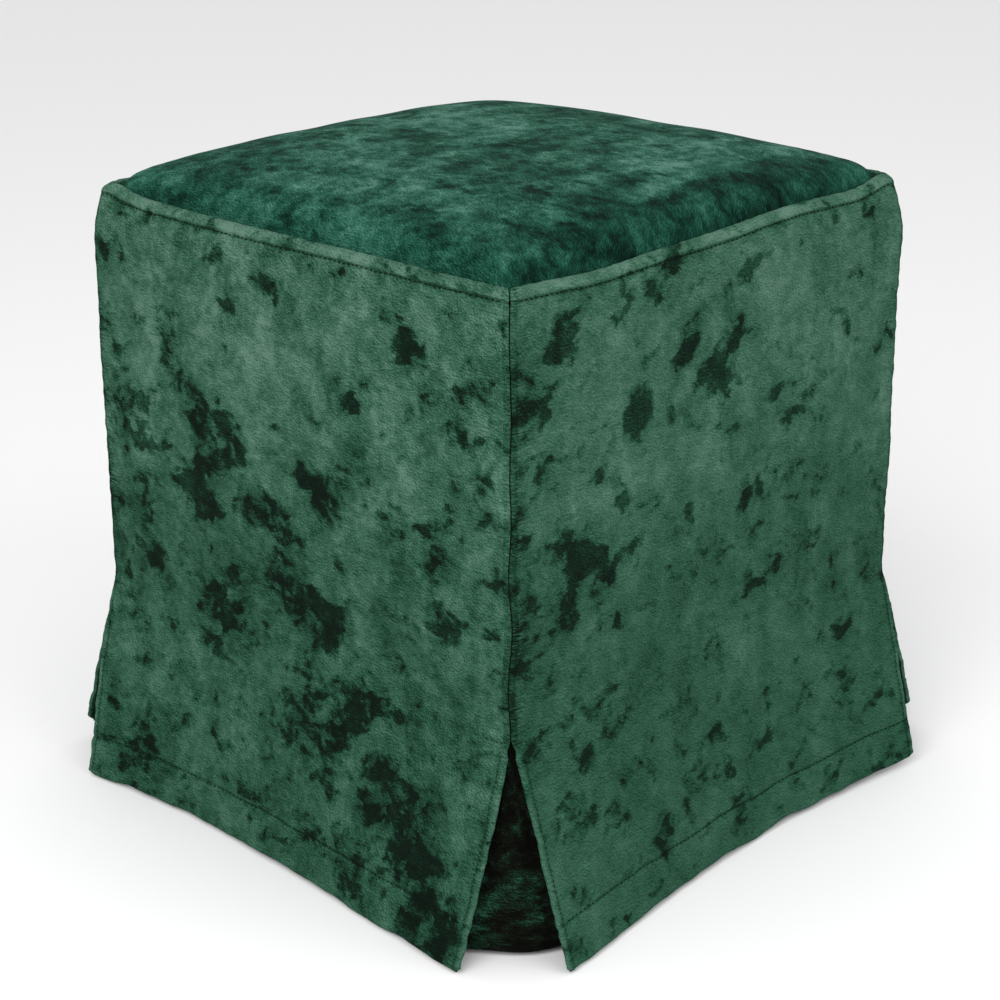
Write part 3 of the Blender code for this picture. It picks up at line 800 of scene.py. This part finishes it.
def underlayPoint(left, right, across, level):
    # A strip behind one pleat: straight behind the left panel, round a quarter of an ellipse, and straight
    # behind the right one. across runs 0 to 1 along it, and level from 1 at the hem to 0 at the head.
    first, last = underlay["bendStart"], underlay["bendEnd"]
    z = underlay["head"] + (underlay["hem"] - underlay["head"]) * level
    start = cover["halfWidth"] - underlay["tuck"] - underlay["open"] * level
    leg = underlay["reach"] - underlay["taken"] * level
    behind = underlay["gap"] + underlay["clear"] * np.sqrt(level)
    onLeft = start - leg * (1.0 - np.clip(across / first, 0.0, 1.0))
    onRight = start - leg * (1.0 - np.clip((1.0 - across) / (1.0 - last), 0.0, 1.0))
    turn = np.clip((across - first) / (last - first), 0.0, 1.0) * pi / 2
    bendX = start + (panelOut(right, -start, z) - behind - start) * np.sin(turn)
    bendOut = start + (panelOut(left, start, z) - behind - start) * np.cos(turn)
    legs = [across < first, across > last]
    x = np.select(legs, [onLeft, panelOut(right, -onRight, z) - behind], bendX)
    out = np.select(legs, [panelOut(left, onLeft, z) - behind, onRight], bendOut)
    shown = ease((across - first) / 0.08) * ease((last - across) / 0.08)
    low = ease((0.05 - z) / 0.05)
    inward = 0.0012 + 0.0010 * ripples(across * 0.2, z, 0.05, left["turn"] + 31, 6)
    inward = shown * (inward + 0.0008 * hump(z, underlay["hem"] + underlay["hemTurn"], 0.0014))
    drop = shown * 0.0012 * np.sin(turn * 2.0) * low
    wavy = 0.0004 * ripples(across * 0.2, 0.0, 0.02, left["turn"] + 33, 5) * low
    return x - inward * np.sin(turn), out - inward * np.cos(turn), z - drop + wavy


def addUnderlay(left, right, material):
    across = np.linspace(0.0, 1.0, underlay["columns"])[None, :]
    level = np.linspace(1.0, 0.0, underlay["rows"])[:, None]
    x, out, z = underlayPoint(left, right, across, level)
    turn = left["turn"]
    up = underlay["tall"] * (1.0 - level)
    uv = (across * underlay["wide"] + 6.5 + turn / 90, up)
    crushed = 0.5 * hump(up, underlay["hemTurn"], 0.0016)
    # Painted light: the underlay is painted lighter towards its hem, where the pleat opens.
    paints = {"crushed": crushed, "lifted": 0.45 * ease((0.070 - z) / 0.065)}
    name = "pleat_underlay_" + left["face"] + "_" + right["face"]
    piece = addSheet("velvet_" + name, turnedAbout(x, out, z, turn), uv, paints, material)
    return tellFrame(piece, "velvet_underlay", name)


# Padded block

block = {
    "behind": 0.0026,  # set back behind the panels
    "step": 0.0030,  # and that much more below the pleat heads
    "corner": 0.022,  # corner radius there, and at the pleat heads
    "waist": 0.013,
    "foot": 0.008,  # rounding of its lower edge
    "clear": 0.0026,  # below the top panel, and how much more at its edge
    "edgeClear": 0.0060,
    "shoulder": ((0.0145, 0.0048), (0.0115, 0.0093)),  # rings below the ridge: how far down and set back
    "crown": (0.955, 0.93, 0.90, 0.86, 0.80, 0.72, 0.62, 0.50, 0.38, 0.26, 0.14, 0.05),  # and over it
    "columns": 65,
}


def allRound(faceRing):  # one ring from each face's own u, out and z
    quarters = []
    for number, skirt in enumerate(skirts):
        u, out, z = (np.asarray(part)[:-1] for part in faceRing(skirt["face"]))
        place = (u - 1j * out) * 1j**number
        quarters.append(np.stack([place.real, place.imag, z], axis=-1))
    return np.concatenate(quarters)


def blockShares():
    return np.sin(np.linspace(-pi / 2, pi / 2, block["columns"]))


def sideRing(height, back, corner):
    # A level ring: straight along each side, and round the corners at their radius.
    share = blockShares()
    half = cornerHalf(height) - back
    flat = half - corner

    def faceRing(face):
        past = np.clip(np.abs(share) * half - flat, 0.0, None)
        reach = corner / np.hypot(past, corner)
        u = np.sign(share) * (np.clip(np.abs(share) * half, None, flat) + past * reach)
        start = cover["drawStart"]
        taken = ease((height - start) / (cover["ridgeHeight"] - start))
        z = height + (ridgeWave(face, share) + cornerWave(face, share)) * taken
        return u, flat + corner * reach + bulge(share, height), z

    return allRound(faceRing)


def crownRing(size):  # a ring under the top panel, at a share of its size
    turns = {"front": 1, "right": 1j, "back": -1, "left": -1j}

    def faceRing(face):
        square = size * (blockShares() - 1j) * turns[face]
        x, y, z = topPoint(square.real, square.imag)
        place = (x + 1j * y) / turns[face]
        return place.real, -place.imag, z - 0.002 - block["clear"] - block["edgeClear"] * size**24

    return allRound(faceRing)


def addBlock(material):
    # The filled block: rings out across its flat base, round its foot, up its sides and over its crown,
    # closed by a fan of triangles at both ends.
    low, radius, foot = block["behind"] + block["step"], cover["cornerRadius"], block["foot"]
    base = sideRing(0.0, low + foot, block["corner"])
    rings = [base * (share, share, 1.0) for share in np.linspace(0.04, 0.98, 18)]
    for angle in np.linspace(0.0, pi / 2, 7):
        rings.append(sideRing(foot * (1.0 - cos(angle)), low + foot * (1.0 - sin(angle)), block["corner"]))
    rings += [sideRing(z, low, block["corner"]) for z in np.linspace(0.02, cover["pleatHead"] - 0.010, 14)]
    rings.append(sideRing(underlay["head"] + 0.002, low, block["waist"]))
    rings += [sideRing(z, block["behind"], radius) for z in np.linspace(0.164, 0.410, 28)]
    rings += [sideRing(cover["ridgeHeight"] - drop, back, radius) for drop, back in block["shoulder"]]
    rings += [crownRing(size) for size in block["crown"]]
    count = len(rings[0])
    here = np.arange(count)
    after = np.roll(here, -1)
    wall = np.stack([here, after, after + count, here + count], axis=1)
    walls = np.concatenate([wall + number * count for number in range(len(rings) - 1)])
    points = np.concatenate(rings + [rings[0].mean(axis=0)[None, :], rings[-1].mean(axis=0)[None, :]])
    last, middle = (len(rings) - 1) * count, len(points) - 2
    under = np.stack([after, here, here * 0 + middle], axis=1)
    over = np.stack([here + last, after + last, here * 0 + middle + 1], axis=1)
    piece = addMesh("padded_stool_block", points, walls.tolist() + under.tolist() + over.tolist(), material)
    return tellFrame(piece, "block_cloth", "padded_block")


# Stitches

stitching = {
    "thread": 0.00048,  # radius
    "share": 0.76,  # of one stitch and its gap is thread
    "sides": 5,
    "sections": 5,
    "proud": 0.00036,  # middle of a stitch above the cloth
    "sunk": 0.00055,  # and its ends below
    "uneven": 0.00012,
}

# Each kind of seam: one stitch with its gap, how thick its thread is, how far and over what length it
# wanders, and what is added to a panel's turn to seed its stitches and its wandering.
seams = {
    "topstitch": dict(ends=0.985, long=0.0042, thick=1.0, wander=0.00035, size=0.03, seeds=(1, 41)),
    "hem": dict(ends=0.965, long=0.0042, thick=0.75, wander=0.0005, size=0.05, seeds=(2, 43)),
    "edge": dict(long=0.0036, thick=0.65, wander=0.0004, size=0.03, seeds=(3, 44)),
    "tack": dict(long=0.0030, thick=1.0, wander=0.0004, size=0.012, seeds=(4, 45)),
}


def surfaceLine(skirt, share, height):
    # Points and outward directions along a line on a panel, from the slopes of the surface there.
    def at(share, height):
        place = sidePoint(skirt, share, 0.0, sideRow(height))
        return np.stack(turnedAbout(*place, skirt["turn"]), axis=-1)

    acrossStep = at(share + 0.002, height) - at(share - 0.002, height)
    upStep = at(share, height + 0.0005) - at(share, height - 0.0005)
    normal = np.cross(acrossStep, upStep)
    return at(share, height), normal / np.linalg.norm(normal, axis=-1, keepdims=True)


def stitchesAlong(kind, skirt, share, height):
    # Short arched tubes end to end along a line: each dips into the cloth at both ends.
    points, normals = surfaceLine(skirt, share, height)
    run = np.concatenate([[0.0], np.cumsum(np.linalg.norm(np.diff(points, axis=0), axis=1))])
    count = max(1, int(run[-1] / seams[kind]["long"]))
    dice = np.random.default_rng(skirt["turn"] + seams[kind]["seeds"][0])
    start = (np.arange(count) + 0.5 * (1 - stitching["share"])) * run[-1] / count
    start = start + dice.normal(0.0, stitching["uneven"], count)
    part = np.linspace(0.0, 1.0, stitching["sections"])
    where = start[:, None] + part * stitching["share"] * run[-1] / count
    spine = np.stack([np.interp(where, run, points[:, axis]) for axis in range(3)], axis=-1)
    outward = np.stack([np.interp(where, run, normals[:, axis]) for axis in range(3)], axis=-1)
    arch = np.sin(pi * part)
    high = stitching["proud"] * dice.uniform(0.7, 1.2, count)[:, None]
    spine = spine + outward * (arch * (high + stitching["sunk"]) - stitching["sunk"])[..., None]
    ahead = np.gradient(spine, axis=1)
    ahead = ahead / np.linalg.norm(ahead, axis=-1, keepdims=True)
    aside = np.cross(ahead, outward)
    aside = aside / np.linalg.norm(aside, axis=-1, keepdims=True)
    upright = np.cross(aside, ahead)
    angles = np.linspace(0.0, 2 * pi, stitching["sides"], endpoint=False)[:, None]
    width = seams[kind]["thick"] * stitching["thread"] * (0.55 + 0.45 * arch)[None, :, None, None]
    ring = aside[:, :, None, :] * np.cos(angles) + upright[:, :, None, :] * np.sin(angles)
    return (spine[:, :, None, :] + width * ring).reshape(-1, 3)


def stitchFaces(points):  # walls and both ends of every tube
    sides, sections = stitching["sides"], stitching["sections"]
    each = sides * sections
    around = np.arange(sides)
    after = np.roll(around, -1)
    wall = np.stack([around, around + sides, after + sides, after], axis=1)
    walls = np.concatenate([wall + row * sides for row in range(sections - 1)])
    caps = np.array([around, (around + each - sides)[::-1]])
    starts = np.arange(0, len(points), each)
    manyWalls = (walls[None] + starts[:, None, None]).reshape(-1, 4).tolist()
    manyCaps = (caps[None] + starts[:, None, None]).reshape(-1, sides).tolist()
    return manyWalls + manyCaps


def addStitches(name, lines, material):
    points = np.concatenate(lines)
    return tellFrame(addMesh(name, points, stitchFaces(points), material), "velvet_side")


def wander(kind, skirt, x, y):
    seam = seams[kind]
    return seam["wander"] * ripples(x, y, seam["size"], skirt["turn"] + seam["seeds"][1], 5)


def alongLine(kind, skirt, height):
    share = np.linspace(-seams[kind]["ends"], seams[kind]["ends"], 400)
    return stitchesAlong(kind, skirt, share, height + wander(kind, skirt, share * 0.2, 0.0))


def edgeLine(skirt, side):
    height = np.linspace(cover["hem"] + 0.004, cover["pleatHead"] - 0.012, 220)
    inset = cover["edgeStitch"] + wander("edge", skirt, height, 0.0)
    return stitchesAlong("edge", skirt, side * (1.0 - inset / cover["halfWidth"]), height)


def tackLine(skirt, side):
    share = side * np.linspace(1.0 - 0.015 / 0.2, 0.998, 60)
    return stitchesAlong("tack", skirt, share, cover["pleatHead"] + wander("tack", skirt, share * 0.2, 0.0))


# Floor, lights and camera

view = {"azimuth": 43.75, "elevation": 20.5, "distance": 1.68, "roll": -0.2, "lens": 83.5}
middle = Vector((0.0, 0.0, 0.202))

# Each light: degrees round and up, how far away, its size and its power.
lights = {"key": (20.0, 38.0, 2.4, 1.6, 34.0), "fill": (95.0, 30.0, 2.6, 2.0, 20.0)}
studio = {"floor": 6.0, "below": 0.0007, "pale": 0.88, "glow": 0.85}


def facing(aim, azimuth, elevation, distance):  # a place round the stool, turned to face aim
    heading, rise = radians(azimuth), radians(elevation)
    back = Vector((sin(heading) * cos(rise), -cos(heading) * cos(rise), sin(rise)))
    return Matrix.Translation(aim + back * distance) @ back.to_track_quat("Z", "Y").to_matrix().to_4x4()


def addCamera():
    data = bpy.data.cameras.new("view")
    data.lens = view["lens"]
    data.sensor_width = 36.0
    camera = bpy.data.objects.new("view", data)
    place = facing(middle, view["azimuth"], view["elevation"], view["distance"])
    camera.matrix_world = place @ Matrix.Rotation(radians(view["roll"]), 4, "Z")
    bpy.context.scene.collection.objects.link(camera)
    bpy.context.scene.camera = camera


def addLight(name, azimuth, elevation, distance, size, power):
    data = bpy.data.lights.new(name, "AREA")
    data.shape = "SQUARE"
    data.size = size
    data.energy = power
    light = bpy.data.objects.new(name, data)
    light.matrix_world = facing(Vector((0.0, 0.0, 0.2)), azimuth, elevation, distance)
    bpy.context.scene.collection.objects.link(light)


def addStudio():
    paint = Paint("studio_floor", Roughness=0.9)
    paint.shader.inputs["Base Color"].default_value = (studio["pale"], studio["pale"], studio["pale"], 1.0)
    corners = np.array([(-1, -1, 0), (1, -1, 0), (1, 1, 0), (-1, 1, 0)]) * studio["floor"]
    corners = corners - (0.0, 0.0, studio["below"])
    addMesh("studio_floor", corners, [[0, 1, 2, 3]], paint.material)
    world = bpy.data.worlds.new("studio")
    world.use_nodes = True
    background = world.node_tree.nodes["Background"]
    background.inputs["Color"].default_value = (1.0, 1.0, 1.0, 1.0)
    background.inputs["Strength"].default_value = studio["glow"]
    bpy.context.scene.world = world
    bpy.context.scene.view_settings.view_transform = "Standard"
    for name, light in lights.items():
        addLight(name, *light)


# The stool

velvets = {kind: velvet("velvet_" + kind, looks) for kind, looks in velvetLooks.items()}
# The topstitching and hem thread is dark green drawn near black: painted shade of the grooves it lies in.
shadedThread = threadFinish("dark_shaded_thread", ((4, 12, 8), (11, 26, 19)))
edgeThread = threadFinish("pleat_thread", ((9, 26, 18), (26, 56, 42)))
baseCloth = baseClothFinish("block_base_cloth")

for skirt in skirts:
    panel = addSidePanel(skirt, velvets["side"])
    print("side panel made:", panel.name)

for left, right in zip(skirts, skirts[1:] + skirts[:1]):
    strip = addUnderlay(left, right, velvets["underlay"])
    print("underlay made:", strip.name)

top = addTopPanel(velvets["top"])
print("top panel made")

addBlock(baseCloth)
print("padded block made")

addStitches("topstitching", [alongLine("topstitch", skirt, grooveHeight()) for skirt in skirts], shadedThread)
addStitches("hem_stitches", [alongLine("hem", skirt, hemHeight()) for skirt in skirts], shadedThread)
sides = [(skirt, side) for skirt in skirts for side in (-1, 1)]
addStitches("pleat_edge_stitches", [edgeLine(*side) for side in sides], edgeThread)
addStitches("pleat_tack_stitches", [tackLine(*side) for side in sides], edgeThread)
print("stitches made")

addCamera()
addStudio()
print("camera, floor and lights made")
